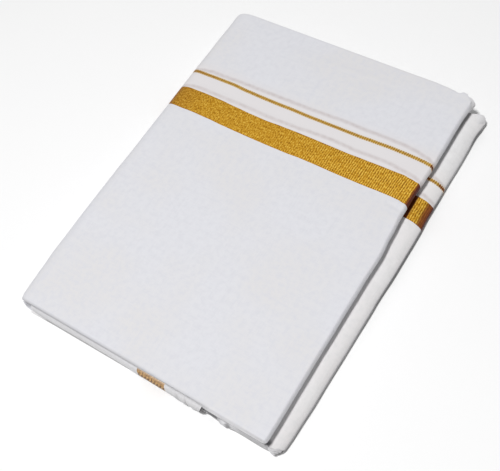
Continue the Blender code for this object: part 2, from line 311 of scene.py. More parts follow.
class Surface:
    def __init__(self, name):
        self.material = bpy.data.materials.new(name)
        self.material.use_nodes = True
        self.tree = self.material.node_tree
        self.tree.nodes.clear()
        output = self.tree.nodes.new("ShaderNodeOutputMaterial")
        self.shader = self.tree.nodes.new("ShaderNodeBsdfPrincipled")
        self.tree.links.new(self.shader.outputs[0], output.inputs["Surface"])

    def add(self, kind, settings, sockets, output=0):
        node = self.tree.nodes.new(kind)
        for key, value in settings.items():
            if key == "stops":
                self.setStops(node.color_ramp, value)
            else:
                setattr(node, key, value)
        for key, value in sockets.items():
            self.feed(node.inputs[key], value)
        return Wire(self, node.outputs[output])

    def feed(self, socket, value):
        if isinstance(value, Wire):
            self.tree.links.new(value.socket, socket)
        else:
            socket.default_value = value

    def setStops(self, ramp, stops):
        while len(ramp.elements) < len(stops):
            ramp.elements.new(0.5)
        for element, (place, colour) in zip(ramp.elements, stops):
            element.position = place
            element.color = (*colour, 1)

    def finish(self, **sockets):
        for key, value in sockets.items():
            self.feed(self.shader.inputs[key], value)
        return self.material

    def place(self, name):  # two distances in millimetres from one of the piece's maps
        place = self.add("ShaderNodeUVMap", {"uv_map": name}, {})
        split = self.add("ShaderNodeSeparateXYZ", {}, {0: place})
        return split * 1000, Wire(self, split.socket.node.outputs[1]) * 1000

    def noise(self, vector, scale, detail, roughness):
        sockets = {"Vector": vector, "Scale": scale, "Detail": detail, "Roughness": roughness}
        return self.add("ShaderNodeTexNoise", {}, sockets)

    def clothNoise(self, along, across, name):
        alongScale, acrossScale, offset, detail, roughness = clothNoises[name]
        sockets = {0: along * alongScale, 1: across * acrossScale, 2: offset}
        return self.noise(self.add("ShaderNodeCombineXYZ", {}, sockets), 1.0, detail, roughness)

    def between(self, value, low, high):  # 0 at low and 1 at high, eased between
        sockets = {"Value": value, 1: low, 2: high}
        return self.add("ShaderNodeMapRange", {"interpolation_type": "SMOOTHSTEP"}, sockets)

    def mixColour(self, factor, first, second):
        first, second = (part if isinstance(part, Wire) else (*part, 1) for part in (first, second))
        settings = {"data_type": "RGBA", "clamp_factor": True}
        return self.add("ShaderNodeMix", settings, {0: factor, 6: first, 7: second}, 2)

    def absolute(self, value):
        return self.add("ShaderNodeMath", {"operation": "ABSOLUTE"}, {0: value})

    def sine(self, value):
        return self.add("ShaderNodeMath", {"operation": "SINE"}, {0: value})

    def wave(self, place, pitch):  # between 0 and 1
        return self.sine(place * (2 * math.pi / pitch)) * 0.5 + 0.5

    def shade(self, name):  # a value that the mesh carries
        return self.add("ShaderNodeAttribute", {"attribute_name": name}, {}, 2)

    def bump(self, height, distance):
        return self.add("ShaderNodeBump", {}, {"Height": height, "Distance": distance, "Strength": 1.0})


# Noise over the cloth: its scales along and across per millimetre, offset, detail, roughness
clothNoises = {
    "slubAlong": (0.02, 1.4, 0.0, 3.0, 0.5),
    "slubAcross": (1.4, 0.02, 3.0, 3.0, 0.5),
    "cloud": (0.014, 0.014, 7.0, 3.0, 0.5),
    "mottle": (0.22, 0.22, 11.0, 3.0, 0.6),
    "ribDrift": (0.12, 0.10, 2.0, 2.0, 0.5),
    "grain": (0.84, 0.52, 5.0, 3.0, 0.75),
    "patch": (0.16, 0.16, 9.0, 2.0, 0.6),
}

cottonLook = {
    "colour": (0.745, 0.748, 0.785),
    "warm": (0.745, 0.735, 0.745),  # large, soft clouds of a warmer white
    "clouds": (0.38, 0.66),  # noise between which they come up
    "shade": (0.700, 0.703, 0.745),  # where a thread is thin and the cloth below shows
    "thinShares": (0.35, 0.9, 0.15),  # of the slubs and of the mottle in that, and what is added
    "thin": (0.34, 0.78),
    "nearBorder": (0.765, 0.735, 0.740),
    "nearReach": (27, 12),  # mm from the border's middle where it begins and is full
    "nearShare": 0.85,
    "throughTint": (0.50, 0.43, 0.42),  # gold lying under the top ply
    "throughReach": (2.8, 0.2),  # mm from its middle
    "throughShares": (0.44, 0.48),  # of the band and of the line
    "throughMottle": (0.1, 1.8),
    "gap": (0.09, 0.09, 0.095),  # painted shade, deep between plies, in crevices and under folds
    "threadPitch": 0.42,
    "threadDepth": 0.00003,  # m
    "threadShares": (0.6, 0.7),  # of the weave and of the slubs in the bump
    "roughness": (0.86, 0.08),  # and how much it varies
    "sheen": (0.25, 0.5),  # weight, roughness
    "specular": 0.25,
}
# painted light: the lower half's cotton is a brighter, warmer copy of the same cloth, as if it caught more
# light
litLowerCottonLook = dict(
    cottonLook,
    colour=(0.800, 0.792, 0.795),
    shade=(0.745, 0.738, 0.740),
    warm=(0.80, 0.775, 0.775),
    nearBorder=(0.80, 0.78, 0.775),
)
innerCottonLook = dict(cottonLook, colour=(0.76, 0.755, 0.775), shade=(0.69, 0.685, 0.705))


def weaveHeight(surface, along, across, pitch):
    warp = surface.sine(along * (2 * math.pi / pitch))
    weft = surface.sine(across * (2 * math.pi / pitch))
    return warp * weft * 0.5 + 0.5


def cottonMaterial(name, look, showThrough):
    surface = Surface(name)
    along, across = surface.place("clothPlace")
    weave = weaveHeight(surface, along, across, look["threadPitch"])
    slubAlong = surface.clothNoise(along, across, "slubAlong")
    slubAcross = surface.clothNoise(along, across, "slubAcross")
    cloud = surface.clothNoise(along, across, "cloud")
    mottle = surface.clothNoise(along, across, "mottle")
    slubShare, mottleShare, base = look["thinShares"]
    thin = (slubAlong + slubAcross) * slubShare + (mottle - 0.5) * mottleShare + base
    colour = surface.mixColour(surface.between(cloud, *look["clouds"]), look["colour"], look["warm"])
    colour = surface.mixColour(surface.between(thin, *look["thin"]), colour, look["shade"])
    if showThrough:
        middle = (border["stops"][1] + border["stops"][2]) / 2
        beside = surface.between(surface.absolute(across - middle), *look["nearReach"])
        colour = surface.mixColour(beside * look["nearShare"], colour, look["nearBorder"])
        band, line = (
            surface.between(surface.absolute(behind), *look["throughReach"]) * share
            for behind, share in zip(surface.place("underPlace"), look["throughShares"])
        )
        least, spread = look["throughMottle"]
        lines = (band + line) * (least + mottle * spread)
        colour = surface.mixColour(lines, colour, look["throughTint"])
    # painted shade: darkened towards the gap colour where the mesh's gapShade says
    colour = surface.mixColour(surface.shade("gapShade"), colour, look["gap"])
    weaveShare, slubShare = look["threadShares"]
    threads = weave * weaveShare + slubAlong * slubShare + slubAcross * slubShare
    fine = surface.bump(threads, look["threadDepth"])
    weight, sheenRoughness = look["sheen"]
    surface.shader.inputs["Sheen Weight"].default_value = weight
    surface.shader.inputs["Sheen Roughness"].default_value = sheenRoughness
    surface.shader.inputs["Specular IOR Level"].default_value = look["specular"]
    level, spread = look["roughness"]
    roughness = level + (mottle - 0.5) * spread
    return surface.finish(**{"Base Color": colour, "Roughness": roughness, "Normal": fine})


zariLook = {
    "bright": (1.0, 0.68, 0.12),
    "mid": (0.655, 0.325, 0.018),
    "dark": (0.26, 0.100, 0.006),
    "tones": (0.02, 0.5, 0.98),  # where the dark, the middle and the bright gold lie
    "line": (0.38, 0.220, 0.050),  # the narrow line is duller
    "lineShare": 0.5,
    "fringe": (0.78, 0.60, 0.32),  # cotton and zari threads mixed at its edges
    "fringeFrom": (0.8, 1.5),  # mm from its middle
    "beside": (0.84, 0.75, 0.62),
    "besideFrom": (1.3, 2.0),
    "ragged": (0.9, 1.4),  # how much the ribs and the grain fray it
    "selvedge": (1.5, 0.12),  # the band is darker at its edges: width, how much
    "folded": (0.30, 0.095, 0.022),  # painted shade: the thread turned away from the light
    "foldedRange": (0.55, 1.4),  # its darkest and brightest, as shares of that
    "foot": (0.090, 0.008, 0.003),  # and painted shade deep in a fold
    "ribPitch": 1.92,  # mm between the ribs, which run across the band
    "ribLean": 0.02,
    "ribWander": 1.6,
    "ribPlace": (365, 265),  # mm along the band between which the ribs come up
    "ribShares": (0.50, 0.08),  # how much more they show there, and how much everywhere
    "threadPitch": 0.62,
    "toneShares": (0.10, 2.7, 0.3),  # of the thread, the grain and the patches
    "ribDepth": 0.00010,  # m
    "reliefShares": (0.7, 0.06, 0.8),  # of the ribs, the thread and the grain in the bump
    "metallic": (0.32, 0.15),  # and how much more where the tone is bright
    "shiny": (0.0, 0.8),  # tones between which it grows
    "roughness": (0.56, 0.10),  # and how much less where the grain is bright
    "specular": 0.15,
}

# The end's ribs show as dark teeth along its lower rim, so their place is across it
endZariLook = dict(
    zariLook,
    bright=(0.82, 0.54, 0.22),
    mid=(0.52, 0.29, 0.10),
    dark=(0.13, 0.055, 0.020),
    rimShare=0.45,
    # painted shade where the end's underside faces down
    folded=(0.20, 0.10, 0.04),
    pale=(0.64, 0.50, 0.38),
    paleFrom=(4.6, 1.2),
    paleShare=0.8,
    ribPitch=2.85,
    ribLean=0.35,
    ribPlace=(4.5, 8.0),
    ribShares=(0.85, 0.2),
)


def zariMaterial(name, look, atEnd):
    surface = Surface(name)
    along, across = surface.place("clothPlace")
    drift = surface.clothNoise(along, across, "ribDrift")
    lean = across * look["ribLean"]
    rib = surface.wave(along + lean + (drift - 0.5) * look["ribWander"], look["ribPitch"])
    bead = surface.wave(across, look["threadPitch"])
    grain = surface.clothNoise(along, across, "grain")
    patch = surface.clothNoise(along, across, "patch")
    ribbed = surface.between(across if atEnd else along, *look["ribPlace"])
    more, least = look["ribShares"]
    ribShare = ribbed * more + least
    tone = (rib - 0.5) * ribShare
    for part, share in zip((bead, grain, patch), look["toneShares"]):
        tone = tone + (part - 0.5) * share
    tone = tone + 0.5
    if not atEnd:
        low, high, lineLow, lineHigh = border["stops"]
        middle = (low + high) / 2
        width, darker = look["selvedge"]
        selvedge = surface.between(surface.absolute(across - middle), high - middle - width, high - middle)
        isLine = surface.between(across, lineLow - 1, lineLow)
        tone = tone - selvedge * darker * (1 - isLine)
    stops = list(zip(look["tones"], (look["dark"], look["mid"], look["bright"])))
    colour = surface.add("ShaderNodeValToRGB", {"stops": stops}, {0: tone})
    if atEnd:
        pale = surface.between(across, *look["paleFrom"]) * look["paleShare"]
        colour = surface.mixColour(pale, colour, look["pale"])
        colour = surface.mixColour(ribbed * look["rimShare"], colour, look["dark"])
    else:
        colour = surface.mixColour(isLine * look["lineShare"], colour, look["line"])
    # painted shade: the gold turns brown round the folds and dark maroon at their foot
    shade = surface.shade("foldShade")
    dim, lit = (tuple(share * part for part in look["folded"]) for share in look["foldedRange"])
    colour = surface.mixColour(shade, colour, surface.mixColour(tone, dim, lit))
    colour = surface.mixColour(shade - 1, colour, look["foot"])
    if not atEnd:
        ribFray, grainFray = look["ragged"]
        fromMiddle = surface.absolute(across - (lineLow + lineHigh) / 2)
        ragged = fromMiddle + (rib - 0.5) * ribFray + (grain - 0.5) * grainFray
        for key in ("fringe", "beside"):
            share = surface.between(ragged, *look[key + "From"]) * isLine
            colour = surface.mixColour(share, colour, look[key])
    ribRise, beadRise, grainRise = look["reliefShares"]
    relief = surface.bump(rib * ribRise + bead * beadRise + grain * grainRise, look["ribDepth"])
    level, less = look["roughness"]
    roughness = level - grain * less
    level, more = look["metallic"]
    metallic = surface.between(tone, *look["shiny"]) * more + level
    surface.shader.inputs["Specular IOR Level"].default_value = look["specular"]
    return surface.finish(**{
        "Base Color": colour, "Roughness": roughness, "Metallic": metallic, "Normal": relief,
    })


# Meshes from grids of points

def gridMesh(name, points, maps, shades, materials, faceMaterials=None, closeRows=False):
    rows, columns = points.shape[:2]
    index = np.arange(rows * columns).reshape(rows, columns)
    if closeRows:
        index = np.concatenate([index, index[:1]], axis=0)
    a, b, c, d = index[:-1, :-1], index[1:, :-1], index[1:, 1:], index[:-1, 1:]
    faces = np.stack([a, b, c, d], axis=-1).reshape(-1, 4)
    mesh = bpy.data.meshes.new(name)
    mesh.from_pydata(points.reshape(-1, 3).tolist(), [], faces.tolist())
    for mapName, places in maps.items():
        layer = mesh.uv_layers.new(name=mapName)
        values = places.reshape(-1, 2)[faces.reshape(-1)] * mm
        layer.data.foreach_set("uv", values.astype(np.float32).reshape(-1))
    for shadeName, values in shades.items():
        layer = mesh.attributes.new(shadeName, "FLOAT", "POINT")
        values = np.broadcast_to(values, (rows, columns)).astype(np.float32)
        layer.data.foreach_set("value", values.reshape(-1))
    for material in materials:
        mesh.materials.append(material)
    if faceMaterials is not None:
        mesh.polygons.foreach_set("material_index", faceMaterials.reshape(-1).astype(np.int32))
    mesh.shade_smooth()
    mesh.update()
    piece = bpy.data.objects.new(name, mesh)
    bpy.context.scene.collection.objects.link(piece)
    return piece


def resample(points, steps):  # even spacing along a polyline, with outward normals
    points = np.array(points)
    gaps = np.hypot(*np.diff(points, axis=0).T)
    length = np.concatenate([[0], np.cumsum(gaps)])
    stops = [0.0]
    while stops[-1] < length[-1]:
        x, z = (np.interp(stops[-1], length, points[:, i]) for i in (0, 1))
        stops.append(stops[-1] + steps(x, z))
    stops = np.array(stops) * length[-1] / stops[-1]
    x, z = (np.interp(stops, length, points[:, i]) for i in (0, 1))
    tangentX, tangentZ = np.gradient(x, stops), np.gradient(z, stops)
    size = np.hypot(tangentX, tangentZ)
    return {"x": x, "z": z, "normalX": tangentZ / size, "normalZ": -tangentX / size, "s": stops}


def squareArc(radius, square, start, end):
    angles = np.radians(np.linspace(start, end, sheetLook["arcPoints"]))
    across, up = np.cos(angles), np.sin(angles)
    xs = radius + radius * np.sign(across) * np.abs(across) ** (2 / square)
    zs = radius + radius * np.sign(up) * np.abs(up) ** (2 / square)
    return list(zip(xs, zs))


def sideFold(look, width, top, bottom):
    # a fold's outline from its underside up to its top: widest at one height, undercut below it
    rise = np.linspace(-1, 1, sheetLook["foldPoints"]) * math.pi / 2
    below = rise < 0
    run = np.where(below, look["underRun"], look["overRun"])
    tall = np.where(below, look["widest"] - bottom, top - look["widest"])
    power = np.where(below, 2 / look["underSquare"], 2 / look["overSquare"])
    xs = width - run + run * np.cos(rise) ** power
    zs = look["widest"] + tall * np.sign(rise) * np.abs(np.sin(rise)) ** power
    return list(zip(xs, zs))


sheetLook = {
    "spineSeam": 240,  # degrees round the spine where the two sheets meet
    "spineSquare": 2.6,
    "arcPoints": 90,  # of the outlines, before they are evenly divided
    "foldPoints": 121,
    "fine": 1.3,  # mm between the mesh's rows where the cloth shows
    "edge": 0.5,  # round the top fold
    "edgeZone": (6, 4),  # within this of its height and place
    "coarse": 6.0,  # and where it lies in the slit or on the floor
    "slitZone": (1.0, 14),  # within this of the slit's height, this far in from the fold
    "floorZone": (0.02, 20),
    "return": 7.0,  # cloth turned in at the front and back edges
    "returnStops": (0.3, 1.0),
    "roll": {"upper": 2.6, "lower": 1.2, "back": 1.5},  # how far from the edge it begins to roll over
    "rollSteps": 16,
    "upperFold": {"widest": 20.6, "overRun": 1.9, "overSquare": 2.1, "underRun": 11.0, "underSquare": 1.9},
    "lowerFold": {"widest": 4.2, "overRun": 15.0, "overSquare": 1.95, "underRun": 5.0, "underSquare": 2},
    "frontBlend": (0, 26),  # the cloth takes up the uneven front edge from here, over this
    "backBlend": (294, 26),
    # unevenness: height, seed, length; beside the right-hand fold also its stretch round the fold
    "waves": ((0.26, 4, 95), (0.08, 9, 38), (0.02, 15, 11)),
    "edgeWaves": (0.32, 21, 26, 0.25),
    "edgeWaveReach": 16,
    "ridgeWander": (0.6, 31, 70),
    "offFloor": (0.4, 3),  # none below this height, eased over the second
    "creased": (-6, 4),  # creases from here, below the top
    # painted shade: tilt where the zari turns brown, and how gradually; then where it turns darker still
    "goldTurn": {"upper": (6, 12), "lower": (24, 9)},
    "goldFoot": (42, 32),
    # painted shade, then from where and over how much: towards the spine, round it, in the crevice
    "goldSpine": (0.34, 40, -36),
    "goldBend": (0.7, -10, -45),
    "goldCrevice": (1.7, 0.9, -1.4),
    # painted shade in the dark gaps
    "frontStretch": 40,  # the front edge's shades end here, across the cloth
    "rollShade": 2.3,  # the upper one darkens over this
    "rollPower": 1.4,
    "rollTop": (-5, 4),  # near the top only
    "cornerShade": (0.45, 1.2),  # the lower one at the corner: painted shade, over this
    "cornerFrom": (233.5, 2),
    "footTilt": (58, 25),
    "creviceFrom": (1.2, -1.6),  # from this far right of the upper fold
    "creviceHeight": (8, 2),
}

# Creases in the top: from x, y to x, y, then half width and height
upperCreases = [
    (96, 298.6, 178, 304.4, 2.0, 0.13),
    (200, 301.4, 228, 303.4, 1.5, 0.15),
    (120, 287.0, 214, 291.5, 4.0, 0.10),
    (60, 306.0, 150, 309.0, 3.0, -0.07),
    (213, 199.6, 234, 198.2, 1.2, -0.55),
    (218, 203.0, 232, 203.4, 1.2, 0.25),
    (206, 188.0, 229, 196.0, 2.6, -0.18),
    (14, 60.0, 96, 41.0, 6.0, -0.10),
    (70, 120.0, 190, 150.0, 9.0, 0.12),
    (120, 60.0, 220, 92.0, 8.0, 0.12),
    (30, 180.0, 120, 160.0, 8.0, -0.10),
    (40, 262.0, 150, 276.0, 5.0, 0.10),
]

# Similar ones on the underside
lowerCreases = [
    (30, 40.0, 170, 58.0, 6.0, -0.12),
    (60, 150.0, 210, 128.0, 8.0, -0.14),
    (20, 262.0, 190, 284.0, 5.0, -0.12),
    (100, 96.0, 226, 110.0, 4.0, -0.10),
    (233, 262.0, 242, 286.0, 2.4, 0.14),
    (232, 150.0, 243, 128.0, 2.6, -0.14),
    (233, 66.0, 242, 84.0, 2.2, 0.12),
]

# Ridges beside the border on the top: place across the cloth, width, height
upperRidges = [
    (203.6, 1.0, -0.10),
    (215.5, 9.0, 0.10),
    (227.6, 1.1, -0.14),
    (231.6, 2.0, 0.16),
    (243.2, 0.8, -0.12),
    (251.8, 1.8, 0.18),
]


def rowStep(x, z):
    near, inset = sheetLook["slitZone"]
    inSlit = abs(z - height / 2) < near and x < upperWidth - inset
    near, inset = sheetLook["floorZone"]
    onFloor = z < near and x < lowerWidth - inset
    below, aside = sheetLook["edgeZone"]
    onEdge = z > height - below and abs(x - upperWidth) < aside
    return sheetLook["coarse"] if inSlit or onFloor else sheetLook["edge" if onEdge else "fine"]


def upperPath():
    slitZ = height / 2 + packet["slit"]
    line = [(spineRadius + 1, slitZ)]
    line += sideFold(sheetLook["upperFold"], upperWidth, height, slitZ)
    line += squareArc(spineRadius, sheetLook["spineSquare"], 90, sheetLook["spineSeam"])
    return resample(line, rowStep)


def lowerPath():
    slitZ = height / 2 - packet["slit"]
    line = squareArc(spineRadius, sheetLook["spineSquare"], sheetLook["spineSeam"], 270)
    line += sideFold(sheetLook["lowerFold"], lowerWidth, slitZ, 0.0)
    line.append((spineRadius + 1, slitZ))
    return resample(line, rowStep)


def noseRows(roll, thickness):
    # rows round an edge fold: set back from the edge, depth below the face, cloth used up
    rows, used, last = [], 0.0, (roll, 0.0)
    for angle in np.linspace(0, math.pi, sheetLook["rollSteps"] + 1)[1:]:
        run = roll if angle <= math.pi / 2 else thickness / 2
        now = (run - run * math.sin(angle), thickness / 2 * (1 - math.cos(angle)))
        used += math.hypot(now[0] - last[0], now[1] - last[1])
        rows.append((*now, used))
        last = now
    for stop in sheetLook["returnStops"]:
        turned = sheetLook["return"] * stop
        rows.append((last[0] + turned, thickness, used + turned))
    return rows


def sheetRows(frontRoll, backRoll):
    # cloth places across the flat part, with a row on each edge of the border
    stops = [packet["front"] + frontRoll, *border["stops"], packet["back"] - backRoll]
    places, gold = [], []
    for number, (low, high) in enumerate(zip(stops, stops[1:])):
        count = max(2, round((high - low) / sheetLook["fine"]))
        places += list(np.linspace(low, high, count, endpoint=False))
        gold += [number in (1, 3)] * count
    return np.array(places + [stops[-1]]), np.array(gold)


def clothRelief(s, v, x, z, upper):
    # soft unevenness of the cloth that shows, outward from its face
    relief = sum(rise * waves(s, v, seed, length) for rise, seed, length in sheetLook["waves"])
    fromEdge = (upperWidth if upper else lowerWidth) - x
    nearEdge = np.exp(-np.maximum(fromEdge, 0) / sheetLook["edgeWaveReach"])
    rise, seed, length, stretch = sheetLook["edgeWaves"]
    relief = relief + nearEdge * rise * waves(s * stretch, v, seed, length)
    offFloor = rising(z, *sheetLook["offFloor"])
    if not upper:
        return relief * offFloor + creaseRelief(x, v, lowerCreases)
    rise, seed, length = sheetLook["ridgeWander"]
    for place, width, depth in upperRidges:
        relief = relief + depth * ridge(v, place + rise * waves(s, v * 0, seed, length), width)
    creased = rising(z - height, *sheetLook["creased"])
    return (relief + creased * creaseRelief(x, v, upperCreases)) * offFloor


def foldShades(path, x, tilt, upper):
    # painted shade for the gold: 0 where the cloth faces up, 1 round a fold, 2 at its foot
    right = rising(tilt, *sheetLook["goldTurn"]["upper" if upper else "lower"])
    right = right + rising(tilt, *sheetLook["goldFoot"])
    spine, *spineFrom = sheetLook["goldSpine"]
    bend, *bendFrom = sheetLook["goldBend"]
    left = spine * rising(x, *spineFrom) + bend * rising(tilt, *bendFrom)
    shade = np.where(tilt > 0, right, 0) + np.where(x < upperWidth / 2, left, 0)
    if upper:
        return shade
    deep, start, over = sheetLook["goldCrevice"]
    crevice = deep * rising(x, upperWidth + start, over) * (path["z"][:, None] > upperLevel / 2)
    return np.maximum(shade, crevice)


def paintedSheetShade(x, y, z, v, front, tilt, upper):
    # painted shade in the dark gaps beside the sheet's edges, in the crevice and under the outer fold
    atFront = v < sheetLook["frontStretch"]
    if upper:
        rolled = 1 - np.clip((y - front) / sheetLook["rollShade"], 0, 1)
        atTop = rising(z - height, *sheetLook["rollTop"]) * atFront
        return eased(gapRows["upperSheet"], x) * rolled ** sheetLook["rollPower"] * atTop
    foot = eased(gapRows["foot"], y) * rising(tilt, *sheetLook["footTilt"])
    fromUpper = settle(x, y, z, False)[0] - (upperWidth + eased(edgeRows, y))
    inCrevice = rising(fromUpper, *sheetLook["creviceFrom"]) * rising(z, *sheetLook["creviceHeight"])
    crevice = eased(gapRows["crevice"], y) * inCrevice
    shade, reach = sheetLook["cornerShade"]
    rolled = shade * (1 - np.clip((y - front) / reach, 0, 1)) * rising(x, *sheetLook["cornerFrom"]) * atFront
    return np.maximum(np.maximum(foot, crevice), rolled)


def foldedSheet(name, path, upper, materials):
    # one sheet along the packet's section, with its edges folded back inside at front and back
    half = "upper" if upper else "lower"
    frontRoll, backRoll = sheetLook["roll"][half], sheetLook["roll"]["back"]
    places, gold = sheetRows(frontRoll, backRoll)
    frontNose = noseRows(frontRoll, packet["strip"])[::-1]
    backNose = noseRows(backRoll, packet["strip"] / 2)
    x, z, s = path["x"][:, None], path["z"][:, None], path["s"][:, None]
    normalX, normalZ = path["normalX"][:, None], path["normalZ"][:, None]
    front, back = frontLimit(x, z, upper), backLimit(x, half + "Back")
    v = places[None, :]
    frontShare = 1 - rising(v, *sheetLook["frontBlend"])
    backShare = rising(v, *sheetLook["backBlend"])
    y = v + borderDrift(x, v, border[half])
    y = y + (front - packet["front"]) * frontShare - (packet["back"] - back) * backShare
    depth = -clothRelief(s, v, x, z, upper)
    parts = [(y, depth, np.broadcast_to(v, y.shape))]
    frontDepth, backDepth = depth[:, :1], depth[:, -1:]
    setBack, below, used = (np.array(column)[None, :] for column in zip(*frontNose))
    parts.insert(0, (front + setBack, frontDepth + below, packet["front"] + frontRoll - used + 0 * x))
    setBack, below, used = (np.array(column)[None, :] for column in zip(*backNose))
    parts.append((back - setBack, backDepth + below, packet["back"] - backRoll + used + 0 * x))
    y, depth, v = (np.concatenate([part[i] for part in parts], axis=1) for i in range(3))
    points = toFrame(*settle(x - normalX * depth, y, np.maximum(z - normalZ * depth, 0.0), upper))
    maps = {
        "clothPlace": np.stack([s + 0 * y, v], axis=-1),
        "underPlace": np.stack([y - eased(throughRows[half], x, column) for column in (1, 2)], axis=-1),
    }
    goldRows = np.array([False] * len(frontNose) + list(gold) + [False] * len(backNose))
    faceMaterials = np.broadcast_to(goldRows, (len(path["s"]) - 1, len(goldRows)))
    tilt = np.degrees(np.arctan2(normalX, normalZ))
    shades = {
        "foldShade": foldShades(path, x, tilt, upper),
        "gapShade": paintedSheetShade(x, y, z, v, front, tilt, upper),
    }
    piece = gridMesh(name, points, maps, shades, materials, faceMaterials)
    flat = (path["s"][-1] * mm, (v.max() - v.min()) * mm)
    print(f"{name}: {points.shape[0] * points.shape[1]} points, cut {flat[0]:.3f} x {flat[1]:.3f} m")
    return piece, flat


# Hidden plies: nested strips, whose folds show at the front and back edges

pliesLook = {
    "count": 3,  # strips on each side of a half's middle
    "steps": (90, 25, 160),  # points along the upper half, round the spine, along the lower half
    "capSteps": 11,  # and round each right-hand end
    "noseSteps": 7,  # rings over each strip's nose
    "setBack": 0.35,
    "turnStep": 1.2,  # mm of cloth from point to point, for the weave and the wander
    "wander": ((0.3, 60, 120), (0.2, 110, 30)),  # how far, seed, length
    "middleInset": 0.8,  # out of sight the plies keep clear of the cloth over them
    "dip": 1.6,  # from this far behind their front edges
    "middle": (16, 304, 25),  # and at these places: first, last, how many
    "behindEnd": (9, 170.4),  # between these the lower ones stand back behind the loose end
    "behindStep": (3.4, 1.2),  # by this much, eased over this depth
    # at the lower front corner each strip reaches out past the one over it: x, width, step
    "fan": (238.5, 4.5, 0.9),
    "notch": (231.2, 1.5, 1.2),
    "grooves": 0.28,  # painted shade between the strips there
    "grooveFrom": (232, 2),
    "backCut": 7,  # the lower plies of the upper half stop short at the back corner
    "cutBelow": (20, -4),
    "cutFrom": (221, 5),
    "backFlare": 1.2,  # and its inner plies stand out of the fold's back end
    "flareBack": (306, 7),
    "flareFrom": (221, 6),
    "gapDepth": (14, -5),  # the gaps' painted shade ends here behind the front
    # painted light from the floor eases the painted shade on the lowest plies beside the hem: how much, then
    # from where and over how much
    "floorLight": 0.75,
    "lightFrom": (170, 1.5),
    "lightTo": (178.5, -1.5),
    "lightBelow": (7.5, -3.5),
}


def middleLine():
    foldUpper, foldLower = upperWidth - foldRadius, lowerWidth - foldRadius
    topSteps, bendSteps, lowSteps = pliesLook["steps"]
    top = [(x, upperLevel, 0.0, 1.0, 1) for x in np.linspace(foldUpper, spineRadius, topSteps)]
    bend = []
    radius = upperLevel - spineRadius
    for angle in np.radians(np.linspace(90, 270, bendSteps))[1:-1]:
        across, up, upper = math.cos(angle), math.sin(angle), int(angle < math.pi)
        bend.append((spineRadius + radius * across, spineRadius + radius * up, across, up, upper))
    low = [(x, lowerLevel, 0.0, -1.0, 0) for x in np.linspace(spineRadius, foldLower, lowSteps)]
    return top + bend + low


def plyRing(depth):
    line = middleLine()
    ring = [(x + depth * nx, z + depth * nz, upper) for x, z, nx, nz, upper in line]
    caps = np.radians(np.linspace(-90, 90, pliesLook["capSteps"]))[1:-1]
    endX = line[-1][0]
    ring += [(endX + depth * math.cos(a), lowerLevel + depth * math.sin(a), 0) for a in caps]
    ring += [(x - depth * nx, z - depth * nz, upper) for x, z, nx, nz, upper in reversed(line)]
    startX = line[0][0]
    ring += [(startX + depth * math.cos(a), upperLevel + depth * math.sin(a), 1) for a in caps]
    return np.array(ring)


def clothTurn(ring):
    return np.arange(len(ring)) * pliesLook["turnStep"]


def plyEnds(frontSide, ring, depth, centre, radius, number):
    x, z, upper = ring[:, 0], ring[:, 1], ring[:, 2] > 0.5
    nose = radius - math.sqrt(max(radius ** 2 - (depth - centre) ** 2, 0))
    wander = sum(
        rise * waves(clothTurn(ring), x * 0, seed + number, length)
        for rise, seed, length in pliesLook["wander"]
    )
    if frontSide:
        lean = eased(edges["upperPliesLean"], x) * np.clip((height - z) * 2 / height, 0, 1)
        high = spineInset(x, z) + eased(edges["upperPliesFront"], x) - lean
        endLow, endHigh = pliesLook["behindEnd"]
        behindEnd = (x > endLow) & (x < endHigh) & (z < upperLevel)
        step, over = pliesLook["behindStep"]
        high = np.where(behindEnd, high + step * smooth(depth / over), high)
        place, width, step = pliesLook["fan"]
        fan = step * (pliesLook["count"] - 0.5 - number) * ridge(x, place, width) * (z > lowerLevel - 1)
        low = cornerInset(lowerWidth - x, "lower") + eased(edges["lowerPliesFront"], x) - fan
        place, width, step = pliesLook["notch"]
        notch = step * ridge(x, place, width) * (z > lowerLevel) * (number > 0)
        return np.where(upper, high, low + notch) + pliesLook["setBack"] + nose + wander
    cut = pliesLook["backCut"] * rising(z, *pliesLook["cutBelow"]) * rising(x, *pliesLook["cutFrom"])
    limit = np.where(upper, backLimit(x, "upperPliesBack") - cut, backLimit(x, "lowerBack"))
    return limit - pliesLook["setBack"] - nose + wander


def plyDepths(count, thickness):
    # ring depths over each nose, from its one side to the other
    found = []
    for number in range(count):
        centre = (number + 0.5) * thickness
        for angle in np.radians(np.linspace(-88, 88, pliesLook["noseSteps"])):
            found.append((centre + thickness / 2 * math.sin(angle), centre, number))
    return found


